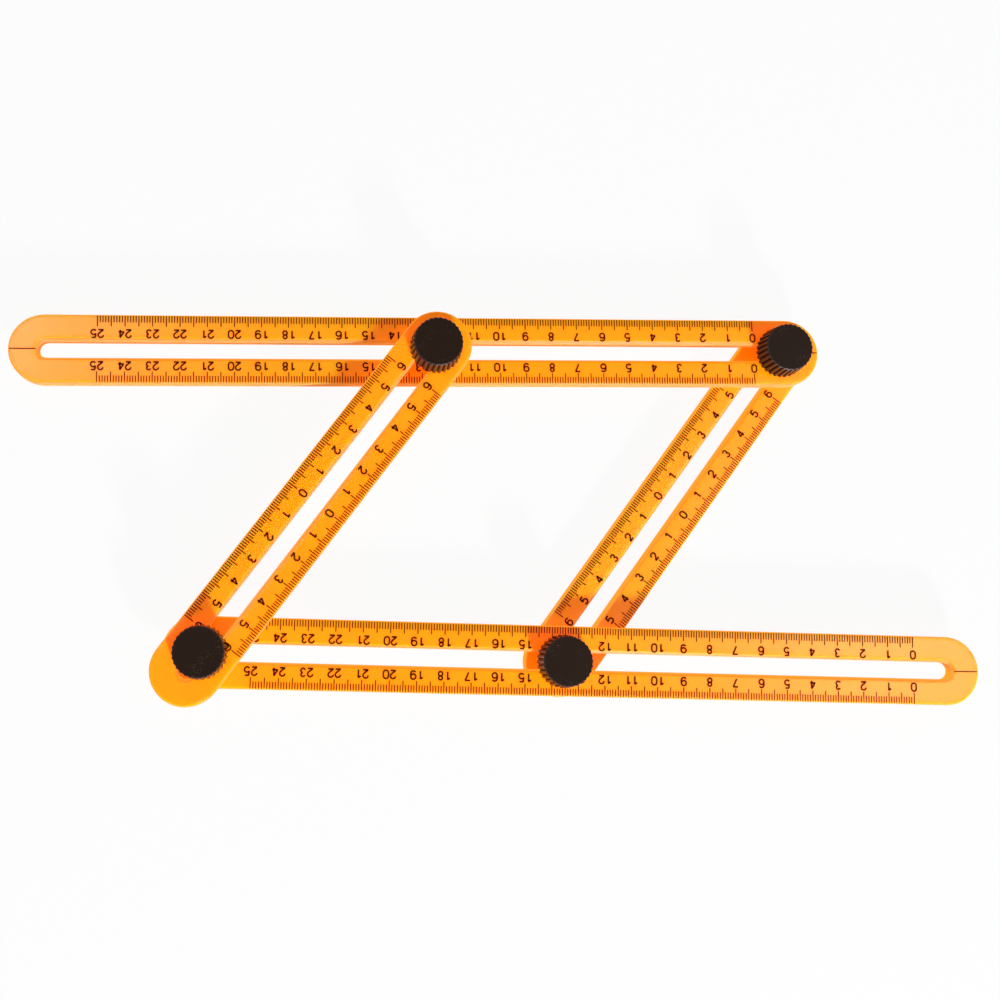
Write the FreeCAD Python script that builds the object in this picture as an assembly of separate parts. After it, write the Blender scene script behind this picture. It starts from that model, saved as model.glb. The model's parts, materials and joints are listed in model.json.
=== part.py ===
import FreeCAD, Part
import math
import os

# Multi-angle folding ruler: two long and two short slotted arms, clamped in a four-sided frame
# by a bolt, a washer and a ribbed knob at each crossing. Millimetres, +Z up.
# The ruler lies flat. +X runs along the upper long arm, away from its high numbers, and the
# origin is under the middle of the outline, on the plane that the lowest bolt heads rest on.

# Arms
long_arm_length = 308.0
short_arm_length = 176.0
arm_width = 25.8
arm_thickness = 4.8
rim_chamfer = 0.35         # outer top rim of an arm
slot_rim_round = 1.2       # top rim of its slot
long_slot_margin = 10.6    # solid plastic from the arm's end to the slot's end
short_slot_margin = 9.8

# How far the bolts stand from where they would meet the end of a slot, along each arm
upper_right_on_upper_arm = 1.4
upper_left_on_left_arm = 1.2
lower_left_on_left_arm = 7.9
upper_right_on_right_arm = 1.1
lower_right_on_right_arm = 0.5
lower_left_on_lower_arm = 0.1
upper_left_past_middle = 2.6    # from the middle of the upper long arm towards its zero end

# Directions of the short arms as the frame is set, from the upper long arm
left_arm_angle = 52.05
right_arm_angle = 52.21

# Bolt
bolt_diameter = 5.9
collar_step = 0.15
head_diameter = 12.0
head_height = 2.0
head_bevel = 0.8
collar_chamfer = 0.3
tip_chamfer = 0.7
tip_spare = 0.9    # from the bolt's tip to the end of the thread in the insert

# Washer
washer_diameter = 12.0
washer_thickness = 0.8
washer_edge = 0.2    # the stamped side's broken edge, uppermost

# Threaded insert in the knob
insert_wall = 1.3
insert_chamfer = 0.3
insert_groove_depth = 0.35
insert_groove_width = 1.2

# Knob
knob_diameter = 19.8    # over the ribs, at its foot
knob_taper = 0.7        # how much its radius narrows up to the bevel
knob_height = 8.8
knob_top_wall = 1.4
knob_top_bevel = 0.35
rib_count = 30
rib_depth = 0.6
rib_share = 0.82    # part of each rib's pitch that the rib takes, the rest is its groove
crest_share = 0.68  # part of a rib's width that its rounded crest takes, between two flanks
crest_drop = 0.2    # from the crest's top to where it meets a flank

# Clearances
face_gap = 0.2        # between flat faces that slide on each other
slot_clearance = 0.1  # each side of a bolt's collar in a slot
pin_clearance = 0.05  # each side of a bolt in a washer or an insert
recess_clearance = 0.3
moulding_gap = 0.01   # each side of the insert in its knob

# Sizes that follow
slot_width = bolt_diameter + 2 * (collar_step + slot_clearance)
bolt_radius = bolt_diameter / 2
collar_radius = bolt_radius + collar_step
bore_radius = bolt_radius + pin_clearance
insert_radius = bore_radius + insert_wall
recess_depth = washer_thickness + face_gap
recess_radius = washer_diameter / 2 + recess_clearance
insert_length = knob_height - recess_depth - knob_top_wall
grip = 2 * arm_thickness + 3 * face_gap    # from a bolt's head to the foot of its knob
bolt_reach = grip + recess_depth + insert_length - tip_spare
layer_step = arm_thickness + face_gap

# Undersides of the three layers of arms
lower_layer = head_height + face_gap
middle_layer = lower_layer + layer_step
upper_layer = middle_layer + layer_step


def vector(x, y, z=0.0):
    """A point or a direction."""
    return FreeCAD.Vector(x, y, z)


def heading(angle):
    """Unit direction in the plane of the arms, at an angle in degrees from +X."""
    return vector(math.cos(math.radians(angle)), math.sin(math.radians(angle)))


def turned(profile):
    """Solid of revolution about Z from (radius, height) points."""
    outline = Part.makePolygon([vector(r, 0, z) for r, z in profile + profile[:1]])
    return Part.Face(outline).revolve(vector(0, 0), vector(0, 0, 1), 360)


def round_ended_bar(length, width, thickness):
    """Straight bar along X with fully round ends, centred on the origin, its underside at zero."""
    radius = width / 2
    end = length / 2 - radius
    outline = Part.Wire([
        Part.makeLine(vector(-end, -radius), vector(end, -radius)),
        Part.Arc(vector(end, -radius), vector(end + radius, 0), vector(end, radius)).toShape(),
        Part.makeLine(vector(end, radius), vector(-end, radius)),
        Part.Arc(vector(-end, radius), vector(-end - radius, 0), vector(-end, -radius)).toShape(),
    ])
    return Part.Face(outline).extrude(vector(0, 0, thickness))


def top_rim(bar):
    """The upper edges of a round-ended bar or of its slot."""
    return [edge for edge in bar.Edges if edge.BoundBox.ZMin > 0.999 * arm_thickness]


def slotted_arm(length, slot_margin):
    """One moulded arm: a bar with a broken rim, and a slot whose rim is rounded for the washers."""
    bar = round_ended_bar(length, arm_width, arm_thickness)
    bar = bar.makeChamfer(rim_chamfer, top_rim(bar))
    slot = round_ended_bar(length - 2 * slot_margin, slot_width, arm_thickness)
    slotted = bar.cut(slot)
    half_slot = slot_width / 2
    rim = [edge for edge in top_rim(slotted) if edge.BoundBox.YMax < half_slot + 0.01]
    rim = [edge for edge in rim if edge.BoundBox.YMin > -half_slot - 0.01]
    return slotted.makeFillet(min(slot_rim_round, 0.4 * arm_thickness), rim)


def bolt():
    """Bolt with a low bevelled head, a collar that runs in the lower slot, and a plain shank."""
    head_radius = head_diameter / 2
    bevel = min(head_bevel, 0.5 * head_height)
    collar_top = head_height + face_gap + arm_thickness
    tip = head_height + bolt_reach
    return turned([
        (0, 0),
        (head_radius - bevel, 0),
        (head_radius, bevel),
        (head_radius, head_height),
        (collar_radius, head_height),
        (collar_radius, collar_top - collar_chamfer),
        (bolt_radius, collar_top),
        (bolt_radius, tip - tip_chamfer),
        (bolt_radius - tip_chamfer, tip),
        (0, tip),
    ])


def washer():
    """Stamped flat washer, its upper outer edge broken."""
    outer = washer_diameter / 2
    return turned([
        (bore_radius, 0),
        (outer, 0),
        (outer, washer_thickness - washer_edge),
        (outer - washer_edge, washer_thickness),
        (bore_radius, washer_thickness),
    ])


def insert():
    """Threaded bush moulded into the knob, with a groove that keys it to the plastic."""
    groove_start = (insert_length - insert_groove_width) / 2
    groove_end = groove_start + insert_groove_width
    groove_radius = insert_radius - insert_groove_depth
    return turned([
        (bore_radius + insert_chamfer, 0),
        (insert_radius, 0),
        (insert_radius, groove_start),
        (groove_radius, groove_start),
        (groove_radius, groove_end),
        (insert_radius, groove_end),
        (insert_radius, insert_length),
        (bore_radius, insert_length),
        (bore_radius, insert_chamfer),
    ])


def rib_outline(outer, height):
    """Closed outline of a ring of round-crested ribs and narrow grooves, at a height."""
    share = 2 * outer / knob_diameter
    valley = outer - rib_depth * share
    shoulder = outer - min(crest_drop, rib_depth / 2) * share
    pitch = 360.0 / rib_count
    half_rib = pitch * rib_share / 2
    half_crest = half_rib * crest_share
    edges = []
    for rib in range(rib_count):
        crest = rib * pitch
        foot = heading(crest - half_rib) * valley
        rise = heading(crest - half_crest) * shoulder
        top = heading(crest) * outer
        fall = heading(crest + half_crest) * shoulder
        heel = heading(crest + half_rib) * valley
        next_foot = heading(crest + pitch - half_rib) * valley
        edges.append(Part.makeLine(foot, rise))
        edges.append(Part.Arc(rise, top, fall).toShape())
        edges.append(Part.makeLine(fall, heel))
        edges.append(Part.makeLine(heel, next_foot))
    outline = Part.Wire(edges)
    outline.translate(vector(0, 0, height))
    return outline


def ribbed_body():
    """The knob's outside: ribs that lean inwards from its foot, and a bevel round its flat top."""
    foot = knob_diameter / 2
    rim = foot - knob_taper
    sections = [
        rib_outline(foot, 0),
        rib_outline(rim, knob_height - knob_top_bevel),
        rib_outline(rim - knob_top_bevel, knob_height),
    ]
    return Part.makeLoft(sections, True, True)


def knob():
    """Ribbed knob with a blind hole moulded round its insert and a recess over the washer."""
    hole = insert_radius + moulding_gap
    groove_start = recess_depth + (insert_length - insert_groove_width) / 2
    groove_end = groove_start + insert_groove_width
    groove_hole = hole - insert_groove_depth
    hole_end = recess_depth + insert_length
    hollow = turned([
        (0, 0),
        (recess_radius, 0),
        (recess_radius, recess_depth),
        (hole, recess_depth),
        (hole, groove_start),
        (groove_hole, groove_start),
        (groove_hole, groove_end),
        (hole, groove_end),
        (hole, hole_end),
        (0, hole_end),
    ])
    return ribbed_body().cut(hollow)


# The frame as it is set. Every arm has a middle, an angle and a layer, and the bolts stand
# where two slots cross. It is worked out with the upper long arm's middle at the origin. A seat is
# the centre of a slot's round end, measured from the middle of its arm.
long_slot_seat = long_arm_length / 2 - long_slot_margin - slot_width / 2
short_slot_seat = short_arm_length / 2 - short_slot_margin - slot_width / 2

upper_left = vector(upper_left_past_middle, 0)
upper_right = vector(long_slot_seat - upper_right_on_upper_arm, 0)
left_middle = upper_left - heading(left_arm_angle) * (short_slot_seat - upper_left_on_left_arm)
right_middle = upper_right - heading(right_arm_angle) * (short_slot_seat - upper_right_on_right_arm)
lower_left = left_middle - heading(left_arm_angle) * (short_slot_seat - lower_left_on_left_arm)
lower_right = right_middle - heading(right_arm_angle) * (short_slot_seat - lower_right_on_right_arm)
lower_span = lower_right - lower_left
lower_arm_angle = math.degrees(math.atan2(lower_span.y, lower_span.x))
lower_middle = lower_left + heading(lower_arm_angle) * (long_slot_seat - lower_left_on_lower_arm)

# Each arm: middle, angle, underside, length, slot margin
arms = {
    "upper_long_arm": (vector(0, 0), 0.0, middle_layer, long_arm_length, long_slot_margin),
    "lower_long_arm": (lower_middle, lower_arm_angle, middle_layer, long_arm_length, long_slot_margin),
    "left_short_arm": (left_middle, left_arm_angle, upper_layer, short_arm_length, short_slot_margin),
    "right_short_arm": (right_middle, right_arm_angle, lower_layer, short_arm_length, short_slot_margin),
}

# Each clamp: place and the underside of the lower of its two arms
clamps = {
    "upper_left": (upper_left, middle_layer),
    "upper_right": (upper_right, lower_layer),
    "lower_left": (lower_left, middle_layer),
    "lower_right": (lower_right, lower_layer),
}


def outline_centre():
    """Middle of the box round the four arms, from the centres of their round ends."""
    ends = []
    for middle, angle, underside, length, slot_margin in arms.values():
        reach = heading(angle) * ((length - arm_width) / 2)
        ends += [middle + reach, middle - reach]
    across = [end.x for end in ends]
    along = [end.y for end in ends]
    return vector((min(across) + max(across)) / 2, (min(along) + max(along)) / 2)


centre = outline_centre()


def arm_pieces():
    """The four arms in their places."""
    pieces = {}
    for name, (middle, angle, underside, length, slot_margin) in arms.items():
        arm = slotted_arm(length, slot_margin)
        arm.rotate(vector(0, 0), vector(0, 0, 1), angle)
        arm.translate(middle - centre + vector(0, 0, underside))
        pieces[name] = arm
    return pieces


def clamp_pieces():
    """The bolt, washer, insert and knob of each clamp, stacked from the bolt's head upwards."""
    pieces = {}
    for name, (place, underside) in clamps.items():
        head = underside - face_gap - head_height
        knob_foot = head + head_height + grip
        stack = {
            "bolt": (bolt(), head),
            "washer": (washer(), knob_foot),
            "insert": (insert(), knob_foot + recess_depth),
            "knob": (knob(), knob_foot),
        }
        for kind, (piece, height) in stack.items():
            piece.translate(place - centre + vector(0, 0, height))
            pieces[name + "_" + kind] = piece
    return pieces


os.makedirs("parts", exist_ok=True)
pieces = {**arm_pieces(), **clamp_pieces()}
for node, shape in pieces.items():
    shape.exportStep("parts/" + node + ".step")

# Volumes, places and layers, printed for checking
for node, shape in pieces.items():
    sound = shape.isValid() and len(shape.Solids) == 1
    print(node, "volume", round(shape.Volume, 1), "sound" if sound else "FAULTY")
for name, (place, underside) in clamps.items():
    spot = place - centre
    print(name, "clamp at", round(spot.x, 4), round(spot.y, 4))
print("lower long arm turned", round(lower_arm_angle, 4), "degrees")
print("lower bolts apart", round(lower_span.Length, 4), "upper", round(upper_right.x - upper_left.x, 4))
print("layers at", lower_layer, middle_layer, upper_layer, "slot", slot_width)
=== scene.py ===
# %% [markdown]
# # A multi-angle folding ruler
# Two long and two short slotted arms of milky orange plastic lie crossed in three layers, and a
# bolt, a washer and a ribbed black knob clamp each crossing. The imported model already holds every
# piece at its real size, so this lesson adds what a photograph shows and a solid can't hold: the
# glow of the plastic, the grain of the knobs and the printed scales.

# %% Load the frame
import json
import math

import bmesh
import bpy
from mathutils import Euler, Matrix, Vector


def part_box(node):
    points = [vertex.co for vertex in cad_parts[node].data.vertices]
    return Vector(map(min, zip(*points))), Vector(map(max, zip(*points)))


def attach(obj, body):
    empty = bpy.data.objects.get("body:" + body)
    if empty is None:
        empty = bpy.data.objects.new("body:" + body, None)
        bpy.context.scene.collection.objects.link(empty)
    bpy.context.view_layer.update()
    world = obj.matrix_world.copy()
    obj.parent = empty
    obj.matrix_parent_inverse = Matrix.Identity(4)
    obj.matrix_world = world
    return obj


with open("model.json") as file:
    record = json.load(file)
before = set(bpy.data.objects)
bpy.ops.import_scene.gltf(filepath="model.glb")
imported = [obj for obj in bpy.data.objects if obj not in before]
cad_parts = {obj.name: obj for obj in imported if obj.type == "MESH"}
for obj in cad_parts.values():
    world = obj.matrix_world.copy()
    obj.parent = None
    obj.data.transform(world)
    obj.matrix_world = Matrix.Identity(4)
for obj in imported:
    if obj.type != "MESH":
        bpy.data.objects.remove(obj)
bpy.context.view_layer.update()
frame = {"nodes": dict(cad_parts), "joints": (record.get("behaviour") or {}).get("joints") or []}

MM = 0.001


# %% [markdown]
# ## The camera
# The ruler was photographed from above, a little from the lower left, with the picture cut off
# centre. The tick marks of the printed scales, whose spacing is known, gave the lens and the
# camera's place by a fit, so the ruler lands on the photograph without any trial and error.
# Everything in the scene is an object that holds some data, so one helper adds it.

# %% Camera
CAMERA_PLACE = Vector((-78.3, -46.9, 434.8)) * MM
CAMERA_TURN = (7.563, -5.839, -1.158)    # degrees about x, y and z, from looking straight down
CAMERA_LENS = 41.52                      # mm, for a frame 36 mm wide
CAMERA_SHIFT = (0.0856, -0.0104)         # of the picture's width, for the crop off centre
CAMERA_NEAR = 10 * MM


def add_object(name, data):
    """A new object that holds the data, linked to the scene."""
    item = bpy.data.objects.new(name, data)
    bpy.context.scene.collection.objects.link(item)
    return item


def make_camera():
    """The camera of the photograph."""
    lens = bpy.data.cameras.new("camera")
    lens.lens = CAMERA_LENS
    lens.shift_x, lens.shift_y = CAMERA_SHIFT
    lens.clip_start = CAMERA_NEAR
    camera = add_object("camera", lens)
    camera.location = CAMERA_PLACE
    camera.rotation_euler = Euler([math.radians(angle) for angle in CAMERA_TURN])
    bpy.context.scene.camera = camera


make_camera()
bpy.context.scene.view_settings.view_transform = "Standard"
print("camera", round(CAMERA_PLACE.length / MM), "mm from the ruler's middle")


# %% [markdown]
# ## Nodes and colours
# A material here is a small tree of nodes. One helper adds a node, sets its values and links its
# inputs, which keeps each material readable from top to bottom. Colours are written as the sRGB
# hex values one would pick from a picture, and one function turns them to the linear values that
# a renderer multiplies with light. Each finish is a function that builds its shader, and a helper
# makes a material of it. Shapes are drawn in a bmesh, and the last helper makes a mesh of one.

# %% Helpers for materials and meshes
def linear(code):
    """Linear RGBA of an sRGB hex colour such as 'ffb406', by the sRGB standard's own curve."""
    levels = [int(code[i:i + 2], 16) / 255 for i in (0, 2, 4)]
    return [v / 12.92 if v <= 0.04045 else ((v + 0.055) / 1.055) ** 2.4 for v in levels] + [1.0]


def add_node(tree, kind, inputs=None, **settings):
    """A new node. inputs maps a socket's name or number to a value or to another node's output."""
    node = tree.nodes.new(kind)
    for name, value in settings.items():
        setattr(node, name, value)
    for key, value in (inputs or {}).items():
        if isinstance(value, bpy.types.NodeSocket):
            tree.links.new(value, node.inputs[key])
        else:
            node.inputs[key].default_value = value
    return node


def empty_tree(owner):
    """The node tree of a new material or of the world, cleared."""
    owner.use_nodes = True
    owner.node_tree.nodes.clear()
    return owner.node_tree


def make_material(name, shader):
    """A material whose surface is what the function shader builds in its tree."""
    material = bpy.data.materials.new(name)
    tree = empty_tree(material)
    add_node(tree, "ShaderNodeOutputMaterial", {"Surface": shader(tree)})
    print(name, len(tree.nodes), "nodes")
    return material


def finish_mesh(name, shape, *materials):
    """A mesh of a bmesh, which is freed, with its materials."""
    mesh = bpy.data.meshes.new(name)
    shape.to_mesh(mesh)
    shape.free()
    for material in materials:
        mesh.materials.append(material)
    return mesh


print("orange ffb406 is", [round(c, 3) for c in linear("ffb406")], "in linear light")


# %% [markdown]
# ## Floor and surround
# The ruler lies on a plain white board that goes on past the edge of the view. Where a ray comes
# from the camera, most of the board's light is given to it outright, which keeps it white while it
# still takes a little of the ruler's shadow. The world is as white where it is looked at, and it
# fills the shadows evenly at a lower level.

# %% Floor and world
FLOOR_SIZE = 6.0       # m
FLOOR_WHITE = "f4f4f4"
CAMERA_SHARE = 0.94    # of the floor's white that no shadow takes, for the camera
THROUGH_SHARE = 0.2    # and for what a gloss mirrors
WORLD_LEVEL = 0.24     # of full white, as a light


def ray_kind(tree):
    """Whether a ray comes from the camera, and whether a gloss or a clear body has sent it on."""
    path = add_node(tree, "ShaderNodeLightPath").outputs
    sent_on = add_node(tree, "ShaderNodeMath",
                       {0: path["Is Glossy Ray"], 1: path["Is Transmission Ray"]},
                       operation="MAXIMUM").outputs[0]
    return path["Is Camera Ray"], sent_on


def white_board(tree):
    """Board that takes shadows and stays white to the camera."""
    from_camera, sent_on = ray_kind(tree)
    seen = add_node(tree, "ShaderNodeMath", {0: from_camera, 1: CAMERA_SHARE},
                    operation="MULTIPLY").outputs[0]
    through = add_node(tree, "ShaderNodeMath", {0: sent_on, 1: THROUGH_SHARE},
                       operation="MULTIPLY").outputs[0]
    share = add_node(tree, "ShaderNodeMath", {0: seen, 1: through}, operation="MAXIMUM").outputs[0]
    board = add_node(tree, "ShaderNodeBsdfDiffuse", {"Color": linear(FLOOR_WHITE)}).outputs[0]
    white = add_node(tree, "ShaderNodeEmission", {"Color": (1, 1, 1, 1), "Strength": 1.0}).outputs[0]
    return add_node(tree, "ShaderNodeMixShader", {0: share, 1: board, 2: white}).outputs[0]


def make_floor():
    """A board under the ruler."""
    shape = bmesh.new()
    bmesh.ops.create_grid(shape, x_segments=1, y_segments=1, size=FLOOR_SIZE / 2)
    board = make_material("white_board", white_board)
    add_object("floor", finish_mesh("floor", shape, board))


def make_world():
    """An even white surround: full white where it is looked at, softer as a light."""
    world = bpy.data.worlds.new("surround")
    bpy.context.scene.world = world
    tree = empty_tree(world)
    from_camera, sent_on = ray_kind(tree)
    looked_at = add_node(tree, "ShaderNodeMath", {0: sent_on, 1: from_camera},
                         operation="MAXIMUM").outputs[0]
    level = add_node(tree, "ShaderNodeMapRange", {"Value": looked_at, "To Min": WORLD_LEVEL,
                                                  "To Max": 1.0}).outputs[0]
    glow = add_node(tree, "ShaderNodeBackground", {"Color": (1, 1, 1, 1), "Strength": level})
    add_node(tree, "ShaderNodeOutputWorld", {"Surface": glow.outputs[0]})


make_floor()
make_world()


# %% [markdown]
# ## Lamps
# The key lamp stands low in front, so each arm throws a long crisp shadow on the one below it.
# Two panels stand high on the right and on the left. They light nothing by themselves: the gloss
# of the plastic mirrors them softly, which makes the ends of the ruler paler than its middle.

# %% Lamps
KEY_PLACE = Vector((600.0, -1920.0, 780.0)) * MM
KEY_SIZE = 200 * MM
KEY_POWER = 72.0       # W
AWAY_FROM_KEY = -Vector((KEY_PLACE.x, KEY_PLACE.y, 0.0)).normalized()
PANEL_SIZE = 320 * MM
PANELS = {             # name: place and power in W
    "right_panel": (Vector((580.0, -20.0, 780.0)) * MM, 8.0),
    "left_panel": (Vector((-480.0, 330.0, 780.0)) * MM, 12.0),
}


def make_lamp(name, place, size, power):
    """A square soft lamp that faces the middle of the ruler."""
    light = bpy.data.lights.new(name, "AREA")
    light.size = size
    light.energy = power
    lamp = add_object(name, light)
    lamp.location = place
    lamp.rotation_euler = (-place).to_track_quat("-Z", "Y").to_euler()
    return lamp


make_lamp("key_lamp", KEY_PLACE, KEY_SIZE, KEY_POWER)
for name, (place, power) in PANELS.items():
    make_lamp(name, place, PANEL_SIZE, power).visible_diffuse = False
print("key lamp stands", round(math.degrees(math.asin(KEY_PLACE.normalized().z))), "degrees high")


# %% [markdown]
# ## Milky orange plastic
# The arms are moulded of a tinted, slightly milky acrylic. It hides what lies below it, and yet
# light travels on inside it: red light goes centimetres before it is swallowed, green a few
# millimetres and blue hardly at all. Subsurface scattering is made for this, with one radius for
# each colour; with a weak painted glow of orange on the faces, it makes a knob's shadow deep orange,
# not grey.
#
# Walls and broken edges carry a stronger painted glow, an emission in place of the light that the
# faces let in, so a wall turned away from the key lamp is no darker than a face. A wall or edge that
# the lamp meets squarely is painted paler, a painted highlight, with a weaker glow, and the far side
# gets a darker painted-shade copy. Colour and glow follow the surface's direction and its side to the
# lamp, which holds for an arm in any place.

# %% Faces and walls of the arms
ARM_ORANGE = "ffb406"
LIT_EDGE = "af7545"        # painted highlight: paler colour of walls and broken edges that the key lamp meets squarely
SHADE_SIDE_ORANGE = "8c3c04"     # painted shade: darker copy for the others, which take little light from outside
FACE_PAINTED_GLOW = "ff6f00"      # painted glow of a face, an emission that keeps its shadows red
WALL_PAINTED_GLOW = "ffa82a"       # and the painted glow that walls and edges give out
FACE_GLOW_LEVEL = 0.4            # strength of the faces' painted glow
LIT_EDGE_LEVEL = 0.3       # strength of the painted glow on the lamp's side
WALL_LEVEL = 0.9           # and on the far side
WALL_UPTO = 0.85           # Z of the normal up to which a surface is a wall or an edge
FACE_FROM = 0.99           # and from which it is a face
SIDE_BLEND = 0.35          # how gradually the lamp's side turns into the far side


def arm_colours(tree):
    """Colour with a painted highlight and painted shade at walls and edges, and colour and strength
    of a painted glow, by the surface's direction.
    """
    normal = add_node(tree, "ShaderNodeNewGeometry").outputs["Normal"]
    level = add_node(tree, "ShaderNodeMath", {
        0: add_node(tree, "ShaderNodeSeparateXYZ", {0: normal}).outputs["Z"]},
        operation="ABSOLUTE").outputs[0]
    face = add_node(tree, "ShaderNodeMapRange", {"Value": level, "From Min": WALL_UPTO,
                                                 "From Max": FACE_FROM}).outputs[0]
    away = add_node(tree, "ShaderNodeVectorMath", {0: normal, 1: AWAY_FROM_KEY},
                    operation="DOT_PRODUCT").outputs["Value"]
    far_side = add_node(tree, "ShaderNodeMapRange", {"Value": away, "From Min": -SIDE_BLEND,
                                                     "From Max": SIDE_BLEND}).outputs[0]

    # Walls and edges: a painted highlight on the key lamp's side, a darker painted-shade copy on the
    # far side
    edge = add_node(tree, "ShaderNodeMix", {"Factor": far_side, "A": linear(LIT_EDGE),
                                            "B": linear(SHADE_SIDE_ORANGE)}, data_type="RGBA").outputs[2]
    colour = add_node(tree, "ShaderNodeMix", {"Factor": face, "A": edge,
                                              "B": linear(ARM_ORANGE)}, data_type="RGBA").outputs[2]
    # The emission is a painted glow, weak on faces and strongest on walls turned away from the key
    # lamp
    glow = add_node(tree, "ShaderNodeMix", {"Factor": face, "A": linear(WALL_PAINTED_GLOW),
                                            "B": linear(FACE_PAINTED_GLOW)}, data_type="RGBA").outputs[2]
    edge_level = add_node(tree, "ShaderNodeMapRange", {"Value": far_side, "To Min": LIT_EDGE_LEVEL,
                                                       "To Max": WALL_LEVEL}).outputs[0]
    strength = add_node(tree, "ShaderNodeMapRange", {"Value": face, "To Min": edge_level,
                                                     "To Max": FACE_GLOW_LEVEL}).outputs[0]
    return colour, glow, strength


print("walls glow", round(WALL_LEVEL / LIT_EDGE_LEVEL, 1), "times as strongly on the far side")


# %% [markdown]
# The gloss of a moulding is soft. It is a thin coat here, because a coat has a normal of its own,
# and the bevel node bends that one round the edges without a change of shape. Slow waves in it
# stand for the shrinkage of a moulded face, and a fine haze makes it a little uneven.

# %% Arm plastic
RED_WAY = 20.0             # mm that red light travels in the plastic
GREEN_SHARE = 0.15         # of that for green light
BLUE_SHARE = 0.03          # and for blue
SHRINK_WAVE = 22.0         # mm from one shallow wave of a moulded face to the next
WAVE_DEPTH = 0.3           # mm
WAVE_STRENGTH = 0.25
HAZE_GRAIN = 0.9           # mm
HAZE_ROUGHNESS = (0.24, 0.34)
COAT_ROUGHNESS = 0.28
SOFT_RIM = 2.2             # mm from an edge within which the gloss bends round it
RIM_SAMPLES = 4
FACE_GLOSS = 0.18          # share of full gloss on a flat face
RIM_GLOSS = 0.9            # at most a quarter of this is added, part of the way round an edge
ACRYLIC_IOR = 1.49


def arm_plastic(tree):
    """Milky tinted acrylic, moulded, with a soft gloss and a painted glow."""
    colour, glow, strength = arm_colours(tree)
    place = add_node(tree, "ShaderNodeTexCoord").outputs["Object"]
    wave = add_node(tree, "ShaderNodeTexNoise", {"Vector": place, "Scale": 1 / (SHRINK_WAVE * MM),
                                                 "Detail": 1.0}).outputs["Fac"]
    haze = add_node(tree, "ShaderNodeTexNoise", {"Vector": place, "Scale": 1 / (HAZE_GRAIN * MM),
                                                 "Detail": 2.0}).outputs["Fac"]
    rough = add_node(tree, "ShaderNodeMapRange", {"Value": haze, "To Min": HAZE_ROUGHNESS[0],
                                                  "To Max": HAZE_ROUGHNESS[1]}).outputs[0]
    waved = {"Height": wave, "Strength": WAVE_STRENGTH, "Distance": WAVE_DEPTH * MM}
    bump = add_node(tree, "ShaderNodeBump", waved).outputs[0]

    # On an upper face and on a wall round_it is 0, and it rises to a quarter on the edge between
    rim = add_node(tree, "ShaderNodeBevel", {"Radius": SOFT_RIM * MM}, samples=RIM_SAMPLES).outputs[0]
    rim_bump = add_node(tree, "ShaderNodeBump", {**waved, "Normal": rim}).outputs[0]
    bent = add_node(tree, "ShaderNodeSeparateXYZ", {0: rim}).outputs["Z"]
    tilt = add_node(tree, "ShaderNodeMath", {0: 1.0, 1: bent}, operation="SUBTRACT").outputs[0]
    round_it = add_node(tree, "ShaderNodeMath", {0: tilt, 1: bent}, operation="MULTIPLY").outputs[0]
    gloss = add_node(tree, "ShaderNodeMath", {0: round_it, 1: RIM_GLOSS, 2: FACE_GLOSS},
                     operation="MULTIPLY_ADD").outputs[0]

    return add_node(tree, "ShaderNodeBsdfPrincipled", {
        "Base Color": colour, "Roughness": rough, "IOR": ACRYLIC_IOR, "Normal": bump,
        "Specular IOR Level": 0.0, "Coat Weight": gloss, "Coat Roughness": COAT_ROUGHNESS,
        "Coat Normal": rim_bump, "Subsurface Weight": 1.0, "Subsurface Scale": RED_WAY * MM,
        "Subsurface Radius": (1.0, GREEN_SHARE, BLUE_SHARE),
        "Emission Color": glow, "Emission Strength": strength}).outputs[0]


ARM_PLASTIC = make_material("orange_acrylic_moulded", arm_plastic)


# %% [markdown]
# ## Dust
# Dust shows on black plastic. It lies on the tops of the knobs as pale specks, here and there more
# of them. A Voronoi texture has one dot in each of its cells, and slow noise sets how large the
# dots are drawn.

# %% Dust on the knobs
SPECK_GAP = 0.7            # mm from one pale speck to the next
SPECK_REACH = 0.26         # of that, radius of the largest speck
SPECK_CLOUD = 9.0          # mm, size of the clouds that the specks come in
CLOUD_EDGES = (0.4, 0.7)   # levels of the cloud where specks begin and where they are largest
TOP_FROM = 0.98            # Z of the normal from which dust stays on a surface


def dust_specks(tree, place, up):
    """1 on a speck of dust and 0 elsewhere."""
    dots = add_node(tree, "ShaderNodeTexVoronoi", {
        "Vector": place, "Scale": 1 / (SPECK_GAP * MM)}).outputs["Distance"]
    cloud = add_node(tree, "ShaderNodeTexNoise", {
        "Vector": place, "Scale": 1 / (SPECK_CLOUD * MM)}).outputs["Fac"]
    reach = add_node(tree, "ShaderNodeMapRange", {
        "Value": cloud, "From Min": CLOUD_EDGES[0], "From Max": CLOUD_EDGES[1],
        "To Max": SPECK_REACH}).outputs[0]
    speck = add_node(tree, "ShaderNodeMath", {0: dots, 1: reach}, operation="LESS_THAN").outputs[0]
    top = add_node(tree, "ShaderNodeMath", {0: up, 1: TOP_FROM}, operation="GREATER_THAN").outputs[0]
    return add_node(tree, "ShaderNodeMath", {0: speck, 1: top}, operation="MULTIPLY").outputs[0]


print("largest specks", round(2 * SPECK_REACH * SPECK_GAP, 2), "mm across")


# %% [markdown]
# ## Black knob plastic
# The knobs are moulded in black ABS. Their tops have a dull, fine spark-eroded grain. The ribs are
# smooth and paler than the tops, and the grooves between them get a painted shade, darker and with
# less gloss, where the ambient occlusion node finds them: it measures how much open air a point has
# around it.

# %% Knob plastic
TOP_BLACK = "291b13"
RIB_BLACK = "40201a"       # a rib's colour on an open crest, paler than the top
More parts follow.
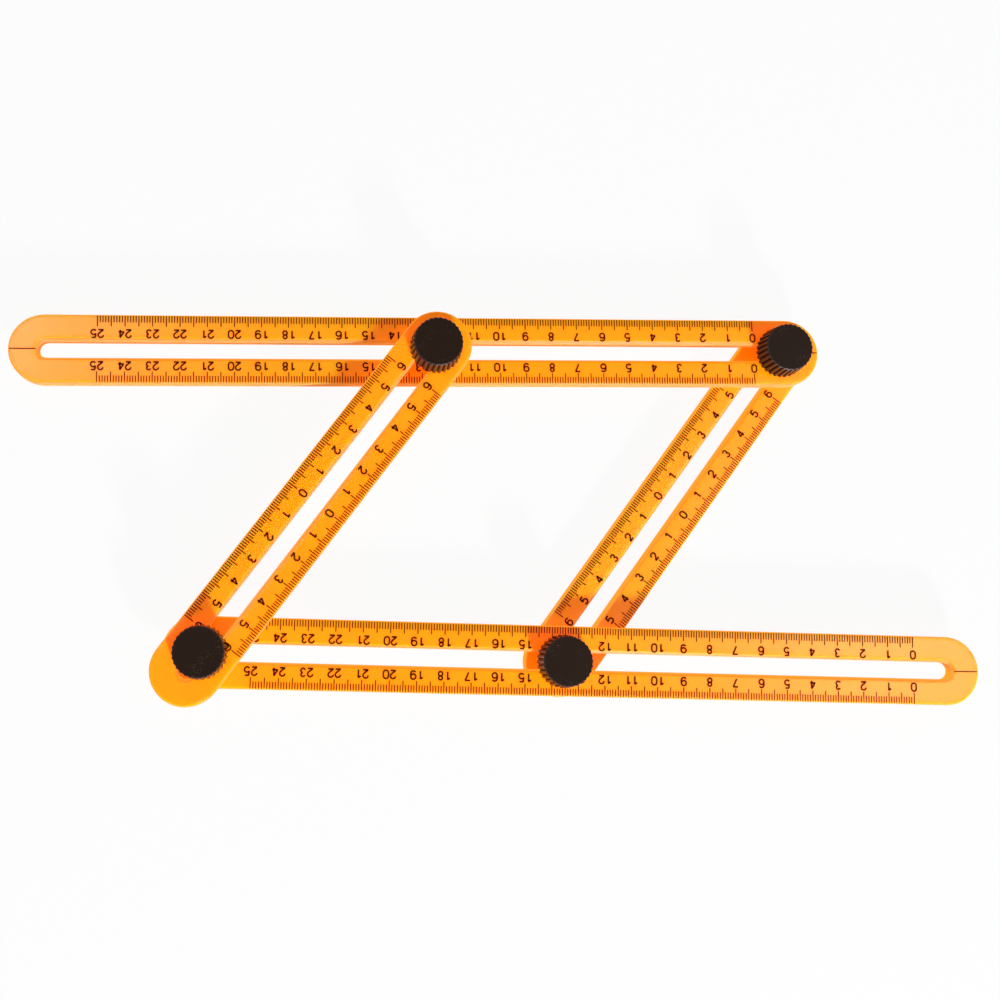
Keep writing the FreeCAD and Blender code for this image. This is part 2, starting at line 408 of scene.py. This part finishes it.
# Painted shade: the colour of a groove between the ribs
GROOVE_SHADE_BLACK = "060201"
DUST_GREY = "564c44"
SIDE_UPTO = 0.5            # Z of the normal up to which a surface is the knob's side
GROOVE_SHADE_REACH = 1.0          # mm within which a groove's walls bring on its painted shade
GROOVE_OPEN = 0.75         # share of open air up to which a place is a groove
GROOVE_SAMPLES = 6
GRAIN = 0.25               # mm, the mould's grain, drawn coarser than it is so that it shows
GRAIN_DEPTH = 0.05         # mm
GRAIN_STRENGTH = (0.05, 0.4)    # on the side and on the top
KNOB_ROUGHNESS = (0.3, 0.4)     # on the side and on the top
RIB_SHINE = (0.02, 0.4)    # specular level in a groove, dimmed as painted shade, and on an open crest
TOP_SHINE = 0.03           # and of the dull top
ABS_IOR = 1.5


def knob_plastic(tree):
    """Black ABS with a fine moulded grain, a few specks of dust and painted shade in the grooves of
    its ribs.
    """
    place = add_node(tree, "ShaderNodeTexCoord").outputs["Object"]
    up = add_node(tree, "ShaderNodeSeparateXYZ", {
        0: add_node(tree, "ShaderNodeNewGeometry").outputs["Normal"]}).outputs["Z"]
    flat = add_node(tree, "ShaderNodeMapRange", {"Value": up, "From Min": SIDE_UPTO,
                                                 "From Max": 1.0}).outputs[0]
    # Ambient occlusion finds the grooves, which get a painted shade in colour and in gloss
    open_air = add_node(tree, "ShaderNodeAmbientOcclusion", {"Distance": GROOVE_SHADE_REACH * MM},
                        samples=GROOVE_SAMPLES).outputs["AO"]
    open_crest = add_node(tree, "ShaderNodeMapRange", {"Value": open_air, "From Min": GROOVE_OPEN,
                                                 "From Max": 1.0}).outputs[0]

    side = add_node(tree, "ShaderNodeMix", {"Factor": open_crest, "A": linear(GROOVE_SHADE_BLACK),
                                            "B": linear(RIB_BLACK)}, data_type="RGBA").outputs[2]
    plain = add_node(tree, "ShaderNodeMix", {"Factor": flat, "A": side, "B": linear(TOP_BLACK)},
                     data_type="RGBA").outputs[2]
    colour = add_node(tree, "ShaderNodeMix", {
        "Factor": dust_specks(tree, place, up), "A": plain, "B": linear(DUST_GREY)},
        data_type="RGBA").outputs[2]

    rough = add_node(tree, "ShaderNodeMapRange", {"Value": flat, "To Min": KNOB_ROUGHNESS[0],
                                                  "To Max": KNOB_ROUGHNESS[1]}).outputs[0]
    rib_shine = add_node(tree, "ShaderNodeMapRange", {"Value": open_crest, "To Min": RIB_SHINE[0],
                                                      "To Max": RIB_SHINE[1]}).outputs[0]
    shine = add_node(tree, "ShaderNodeMapRange", {"Value": flat, "To Min": rib_shine,
                                                  "To Max": TOP_SHINE}).outputs[0]
    grain = add_node(tree, "ShaderNodeTexNoise", {"Vector": place, "Scale": 1 / (GRAIN * MM),
                                                  "Detail": 3.0}).outputs["Fac"]
    relief = add_node(tree, "ShaderNodeMapRange", {"Value": flat, "To Min": GRAIN_STRENGTH[0],
                                                   "To Max": GRAIN_STRENGTH[1]}).outputs[0]
    bump = add_node(tree, "ShaderNodeBump", {"Height": grain, "Strength": relief,
                                             "Distance": GRAIN_DEPTH * MM}).outputs[0]
    return add_node(tree, "ShaderNodeBsdfPrincipled", {
        "Base Color": colour, "Roughness": rough, "IOR": ABS_IOR, "Normal": bump,
        "Specular IOR Level": shine}).outputs[0]


KNOB_PLASTIC = make_material("black_abs_grained", knob_plastic)


# %% [markdown]
# ## Brass and steel
# The inserts are turned brass, which shows fine rings where the light is mirrored. The bolts and
# washers are steel with bright zinc plating, a little cloudy. Both are all but hidden, so one
# pattern each is enough.

# %% Brass and steel
BRASS = "d9b061"
TOOL_RINGS = 0.628         # mm from ring to ring, drawn coarser than a tool cuts them
BANDS_PERIOD = math.pi / 10     # of the wave texture's bands at a scale of 1
BRASS_ROUGHNESS = (0.22, 0.36)
ZINC = ("b4b6ba", "d4d5d6")
PLATING_CLOUD = 1.2        # mm
ZINC_ROUGHNESS = (0.25, 0.42)


def turned_brass(tree):
    """Brass with the rings of a lathe tool."""
    place = add_node(tree, "ShaderNodeTexCoord").outputs["Object"]
    rings = add_node(tree, "ShaderNodeTexWave", {
        "Vector": place, "Scale": BANDS_PERIOD / (TOOL_RINGS * MM)},
        bands_direction="Z").outputs["Fac"]
    rough = add_node(tree, "ShaderNodeMapRange", {"Value": rings, "To Min": BRASS_ROUGHNESS[0],
                                                  "To Max": BRASS_ROUGHNESS[1]}).outputs[0]
    return add_node(tree, "ShaderNodeBsdfPrincipled", {
        "Base Color": linear(BRASS), "Metallic": 1.0, "Roughness": rough}).outputs[0]


def plated_steel(tree):
    """Steel with bright, slightly cloudy zinc plating."""
    place = add_node(tree, "ShaderNodeTexCoord").outputs["Object"]
    cloud = add_node(tree, "ShaderNodeTexNoise", {"Vector": place, "Scale": 1 / (PLATING_CLOUD * MM),
                                                  "Detail": 3.0}).outputs["Fac"]
    colour = add_node(tree, "ShaderNodeMix", {"Factor": cloud, "A": linear(ZINC[0]),
                                              "B": linear(ZINC[1])}, data_type="RGBA").outputs[2]
    rough = add_node(tree, "ShaderNodeMapRange", {"Value": cloud, "To Min": ZINC_ROUGHNESS[0],
                                                  "To Max": ZINC_ROUGHNESS[1]}).outputs[0]
    return add_node(tree, "ShaderNodeBsdfPrincipled", {
        "Base Color": colour, "Metallic": 1.0, "Roughness": rough}).outputs[0]


INSERT_BRASS = make_material("brass_turned", turned_brass)
BOLT_STEEL = make_material("steel_zinc_plated", plated_steel)


# %% [markdown]
# ## A finish for every piece
# The last word of a node's name says what kind of piece it is, and so which finish it has.

# %% Finishes
FINISHES = {"arm": ARM_PLASTIC, "knob": KNOB_PLASTIC, "insert": INSERT_BRASS,
            "bolt": BOLT_STEEL, "washer": BOLT_STEEL}

for name, piece in frame["nodes"].items():
    piece.data.materials.clear()
    piece.data.materials.append(FINISHES[name.split("_")[-1]])
print("finishes", sorted({material.name for material in FINISHES.values()}))


# %% [markdown]
# ## The smooth end of a knob
# Seen from above, the ribs stop at a smooth round end with a narrow broken edge. It is a shallow
# cone that lies just inside the tips of the ribs, so that they show all round it as scallops.

# %% Ends of the knobs
END_FOOT = 8.95        # mm, radius at the lower side of the broken edge
END_TOP = 8.65         # mm, radius of the flat
END_DEPTH = 0.34       # mm
END_RISE = 0.04        # mm that the flat lies above the ribs' ends
END_SEGMENTS = 96


def add_end(knob):
    """The smooth round end of a knob."""
    low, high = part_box(knob)
    place = Vector(((low.x + high.x) / 2, (low.y + high.y) / 2,
                    high.z + (END_RISE - END_DEPTH / 2) * MM))
    shape = bmesh.new()
    bmesh.ops.create_cone(shape, cap_ends=True, cap_tris=False, segments=END_SEGMENTS,
                          radius1=END_FOOT * MM, radius2=END_TOP * MM, depth=END_DEPTH * MM,
                          matrix=Matrix.Translation(place))
    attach(add_object(knob + "_end", finish_mesh(knob + "_end", shape, KNOB_PLASTIC)), knob)


KNOBS = [name for name in frame["nodes"] if name.endswith("_knob")]
for knob in KNOBS:
    add_end(knob)
print("smooth ends on", KNOBS)


# %% [markdown]
# ## Where the arms lie
# The scales are printed on four arms that lie at four angles. Everything on an arm is drawn along
# the arm, with x from its middle towards its end, y across it and z = 0 on its upper face, and one
# matrix per arm puts it in place. The direction is the axis of the arm's sliding joint and the
# middle is that of its solid, so both come from the frame.

# %% Places of the arms
ARMS = ("upper_long_arm", "lower_long_arm", "left_short_arm", "right_short_arm")


def arm_place(arm):
    """Matrix from an arm's own millimetres to the frame, and its length and width in mm."""
    axis = Vector(next(joint["axis"] for joint in frame["joints"] if joint["name"] == arm + "_slide"))
    turn = Matrix.Rotation(math.atan2(axis.y, axis.x), 4, "Z")
    low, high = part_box(arm)
    middle = Vector(((low.x + high.x) / 2, (low.y + high.y) / 2, high.z))
    place = Matrix.Translation(middle) @ turn @ Matrix.Scale(MM, 4)
    to_arm = place.inverted()
    corners = [to_arm @ vertex.co for vertex in frame["nodes"][arm].data.vertices]
    return place, 2 * max(p.x for p in corners), 2 * max(p.y for p in corners)


PLACES = {arm: arm_place(arm) for arm in ARMS}
for arm, (place, length, width) in PLACES.items():
    print(arm, round(length, 2), "x", round(width, 2), "mm")


# %% [markdown]
# ## Printing ink
# The scales are pad-printed in one dark brown ink. On the orange it looks nearly black where it is
# thick and browner where it is thin, so its colour drifts a little from place to place.

# %% Ink
INK_THICK = "5a1a00"
INK_THIN = "7c3a00"
INK_DRIFT = 3.0        # mm from a thick patch to the next
INK_ROUGHNESS = 0.55
INK_SHINE = 0.02       # specular level, nearly dull
INK_IOR = 1.45
INK_RISE = 0.03        # mm, the ink stands this far out of the plastic
INK_SINK = 0.05        # and this far in, so that it has no gap on a rounded rim


def printing_ink(tree):
    """Dark brown pad-printing ink, nearly dull."""
    place = add_node(tree, "ShaderNodeTexCoord").outputs["Object"]
    drift = add_node(tree, "ShaderNodeTexNoise", {"Vector": place, "Scale": 1 / (INK_DRIFT * MM),
                                                  "Detail": 2.0}).outputs["Fac"]
    colour = add_node(tree, "ShaderNodeMix", {"Factor": drift, "A": linear(INK_THICK),
                                              "B": linear(INK_THIN)}, data_type="RGBA").outputs[2]
    return add_node(tree, "ShaderNodeBsdfPrincipled", {
        "Base Color": colour, "Roughness": INK_ROUGHNESS, "IOR": INK_IOR,
        "Specular IOR Level": INK_SHINE}).outputs[0]


INK = make_material("dark_brown_pad_ink", printing_ink)


def add_print(name, shape, arm):
    """Make a printed piece of a bmesh and let it ride on its arm."""
    mesh = finish_mesh(name, shape, INK)
    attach(add_object(name, mesh), arm)
    print(name, len(mesh.polygons), "faces")


# %% [markdown]
# ## Graduations
# A line of the scale is a flat box. Millimetre lines stand on both long edges of every arm, and
# each fifth one is longer. A long arm counts from 0 near one end to 25 cm. A short arm counts from
# 0 in its middle to 6 cm both ways.

# %% Graduation lines
LONG_ZERO = 127.8      # mm from a long arm's middle to its zero line
LONG_SCALE = 250       # mm that it counts
SHORT_SCALE = 60       # mm that a short arm counts each way
SHORT_ZERO = {"left_short_arm": 0.0, "right_short_arm": -0.6}    # mm from its middle to its zero
LINE_WIDTH = 0.4       # mm
LINE_FOOT = 12.5       # mm from the arm's middle to where a line starts, at the rim
SHORT_LINE = 2.5       # mm, length of a millimetre line
LONG_LINE = 4.0        # and of each fifth one
END_MARK = 9.4         # mm, line along the middle at both ends of a long arm
END_INSET = 0.4        # mm from the arm's tip to that line, past the broken rim


def stations(arm):
    """(x, reading) of each millimetre line of an arm's scale, both in mm."""
    if "long" in arm:
        return [(LONG_ZERO - reading, reading) for reading in range(LONG_SCALE + 1)]
    return [(x + SHORT_ZERO[arm], abs(x)) for x in range(-SHORT_SCALE, SHORT_SCALE + 1)]


def add_bar(shape, place, x_from, x_to, y_from, y_to):
    """A flat printed box between two corners, in the arm's millimetres."""
    middle = Vector(((x_from + x_to) / 2, (y_from + y_to) / 2, (INK_RISE - INK_SINK) / 2))
    size = Vector((abs(x_to - x_from), abs(y_to - y_from), INK_RISE + INK_SINK))
    bmesh.ops.create_cube(shape, size=1.0,
                          matrix=place @ Matrix.Translation(middle) @ Matrix.Diagonal(size).to_4x4())


def print_graduations(arm):
    """The lines of both scales of an arm, and the end marks of a long arm."""
    place, length, _ = PLACES[arm]
    lines = bmesh.new()
    for x, reading in stations(arm):
        reach = LONG_LINE if reading % 5 == 0 else SHORT_LINE
        for side in (1, -1):
            add_bar(lines, place, x - LINE_WIDTH / 2, x + LINE_WIDTH / 2,
                    side * (LINE_FOOT - reach), side * LINE_FOOT)
    if "long" in arm:
        for end in (1, -1):
            tip = end * (length / 2 - END_INSET)
            add_bar(lines, place, tip - end * END_MARK, tip, -LINE_WIDTH / 2, LINE_WIDTH / 2)
    add_print(arm + "_graduations", lines, arm)


for arm in ARMS:
    print_graduations(arm)


# %% [markdown]
# ## Digits drawn with a pen
# The built-in font has other figures than the ruler, so the ten digits are drawn as a sign writer
# would do it. The nib is a short edge. Pushing it straight on extrudes a stroke, turning it about
# a centre spins a bow, and the flat stroke is then made as thick as the ink. A stroke starts at x, y
# with a heading in degrees, and its moves are a number for a straight, or a radius and a turn for a
# bow, where a negative turn goes to the right.

# %% Pen
PEN = 0.66             # mm, width of a stroke
DIGIT_WIDTH = 1.87     # mm, the pen's path across a digit
DIGIT_HEIGHT = 2.97    # mm, and up it
BOW_STEP = 22.5        # degrees of a bow that one face covers


def straight(x_from, y_from, x_to, y_to):
    """A straight stroke from one point to another."""
    way = Vector((x_to - x_from, y_to - y_from))
    return x_from, y_from, math.degrees(math.atan2(way.y, way.x)), [way.length]


def draw_stroke(shape, x, y, heading, moves):
    """Draw one stroke with a flat nib, in millimetres."""
    point = Vector((x, y, 0))
    heading = math.radians(heading)
    side = Vector((-math.sin(heading), math.cos(heading), 0)) * PEN / 2
    nib = shape.edges.new([shape.verts.new(point + side), shape.verts.new(point - side)])
    for move in moves:
        ahead = Vector((math.cos(heading), math.sin(heading), 0))
        if isinstance(move, tuple):
            radius, turn = move[0], math.radians(move[1])
            to_left = Vector((-ahead.y, ahead.x, 0))
            centre = point + to_left * math.copysign(radius, turn)
            closes = len(moves) == 1 and abs(move[1]) == 360
            steps = math.ceil(abs(move[1]) / BOW_STEP)
            last = bmesh.ops.spin(shape, geom=list(nib.verts) + [nib], cent=centre, axis=(0, 0, 1),
                                  angle=turn, steps=steps, use_merge=closes)["geom_last"]
            point = centre + Matrix.Rotation(turn, 3, "Z") @ (point - centre)
            heading += turn
            if closes:
                return
        else:
            last = bmesh.ops.extrude_edge_only(shape, edges=[nib])["geom"]
            moved = [item for item in last if isinstance(item, bmesh.types.BMVert)]
            bmesh.ops.translate(shape, verts=moved, vec=ahead * move)
            point = point + ahead * move
        # Of the edges just made, the nib is the one as long as the pen is wide
        nib = next(item for item in last if isinstance(item, bmesh.types.BMEdge)
                   and abs(item.calc_length() - PEN) < PEN / 10)


# %% [markdown]
# The digits themselves follow from the pen's box, W wide and H high: round ones are bows of half
# its width, points are shares of its sides, and a 9 is a 6 turned round.

# %% Ten digits
W, H = DIGIT_WIDTH, DIGIT_HEIGHT
ROUND = W / 2          # radius of a digit as wide as the box
TOP_BOW = 0.70         # mm, radii of the two bows of a 3 or an 8
LOW_BOW = (H - 2 * TOP_BOW) / 2
OVERRUN = 0.1          # mm that the bar of a 4 or a 7 passes the box
TWO_BOW = 229.4        # degrees of the bow of a 2, after which its slant heads for the foot
TWO_SLANT = 2.035      # mm, length of that slant
TWO_FOOT = 0.02        # mm, height of a 2's foot stroke
SIX = [(W, ROUND, 90, [(ROUND, 360)]), (0, ROUND, 90, [H - W, (ROUND, -150)])]

# The upper bow of a 3 begins 15 degrees above its middle: 0.966 is the cosine of that angle, and
# 0.741 is 1 less its sine
STROKES = {
    0: [(0, ROUND, 90, [H - W, (ROUND, -180), H - W, (ROUND, -180)])],
    1: [straight(0.5 * W, 0, 0.5 * W, H), straight(0, 0.76 * H, 0.5 * W, 0.96 * H)],
    2: [(0, H - ROUND, 90, [(ROUND, -TWO_BOW), TWO_SLANT]),
        straight(-OVERRUN / 2, TWO_FOOT, W, TWO_FOOT)],
    3: [(ROUND - 0.966 * TOP_BOW, H - 0.741 * TOP_BOW, 75, [(TOP_BOW, -255)]),
        (ROUND, 2 * LOW_BOW, 0, [(LOW_BOW, -255)])],
    4: [straight(0.72 * W, 0, 0.72 * W, H), straight(0.72 * W, H, 0, 0.27 * H),
        straight(-OVERRUN, 0.27 * H, W + OVERRUN, 0.27 * H)],
    5: [straight(0.9 * W, H, 0.12 * W, H), straight(0.18 * W, H, 0.07 * W, 0.47 * H),
        (0.07 * W, 1.5 * ROUND, 60, [(ROUND, -300)])],
    6: SIX,
    7: [straight(0, H, W + OVERRUN, H), straight(W, H, 0.3 * W, 0)],
    8: [(ROUND + TOP_BOW, H - TOP_BOW, 90, [(TOP_BOW, 360)]),
        (ROUND + LOW_BOW, LOW_BOW, 90, [(LOW_BOW, 360)])],
    9: SIX,
}


def make_digit(value):
    """A digit as a thin slab in millimetres, centred on its box."""
    shape = bmesh.new()
    for stroke in STROKES[value]:
        draw_stroke(shape, *stroke)
    bmesh.ops.remove_doubles(shape, verts=shape.verts, dist=PEN / 20)
    raised = bmesh.ops.extrude_face_region(shape, geom=list(shape.faces))["geom"]
    top = [item for item in raised if isinstance(item, bmesh.types.BMVert)]
    bmesh.ops.translate(shape, verts=top, vec=(0, 0, INK_RISE + INK_SINK))
    bmesh.ops.recalc_face_normals(shape, faces=list(shape.faces))
    bmesh.ops.translate(shape, verts=list(shape.verts), vec=(-W / 2, -H / 2, -INK_SINK))
    if value == 9:
        bmesh.ops.rotate(shape, verts=list(shape.verts), matrix=Matrix.Rotation(math.pi, 3, "Z"))
    return finish_mesh(f"digit_{value}", shape)


DIGITS = [make_digit(value) for value in range(10)]
print("faces of the digits", [len(digit.polygons) for digit in DIGITS])


# %% [markdown]
# ## Numbers
# Each whole centimetre has its number beside the line, on both scales. On three of the arms the
# numbers stand head down as seen along x. The right short arm carries them the other way round.

# %% Numbers on the arms
DIGIT_STEP = 2.6              # mm from one digit of a number to the next
ROW_PLACES = (5.75, -6.35)    # mm from the arm's middle to the middle of a row of numbers
READ_ALONG_X = "right_short_arm"


def stamp(shape, mesh, place):
    """Add a copy of a mesh to a bmesh, at a place."""
    first = len(shape.verts)
    shape.from_mesh(mesh)
    shape.verts.ensure_lookup_table()
    bmesh.ops.transform(shape, matrix=place, verts=shape.verts[first:])


def print_numbers(arm):
    """The numbers of both scales of an arm."""
    place = PLACES[arm][0]
    turn = Matrix.Rotation(0 if arm == READ_ALONG_X else math.pi, 4, "Z")
    numbers = bmesh.new()
    for x, reading in stations(arm):
        if reading % 10:
            continue
        digits = [int(letter) for letter in str(reading // 10)]
        for row in ROW_PLACES:
            label = place @ Matrix.Translation((x, row, 0)) @ turn
            for number, digit in enumerate(digits):
                offset = DIGIT_STEP * (number - (len(digits) - 1) / 2)
                stamp(numbers, DIGITS[digit], label @ Matrix.Translation((offset, 0, 0)))
    add_print(arm + "_numbers", numbers, arm)


for arm in ARMS:
    print_numbers(arm)
for digit in DIGITS:
    bpy.data.meshes.remove(digit)
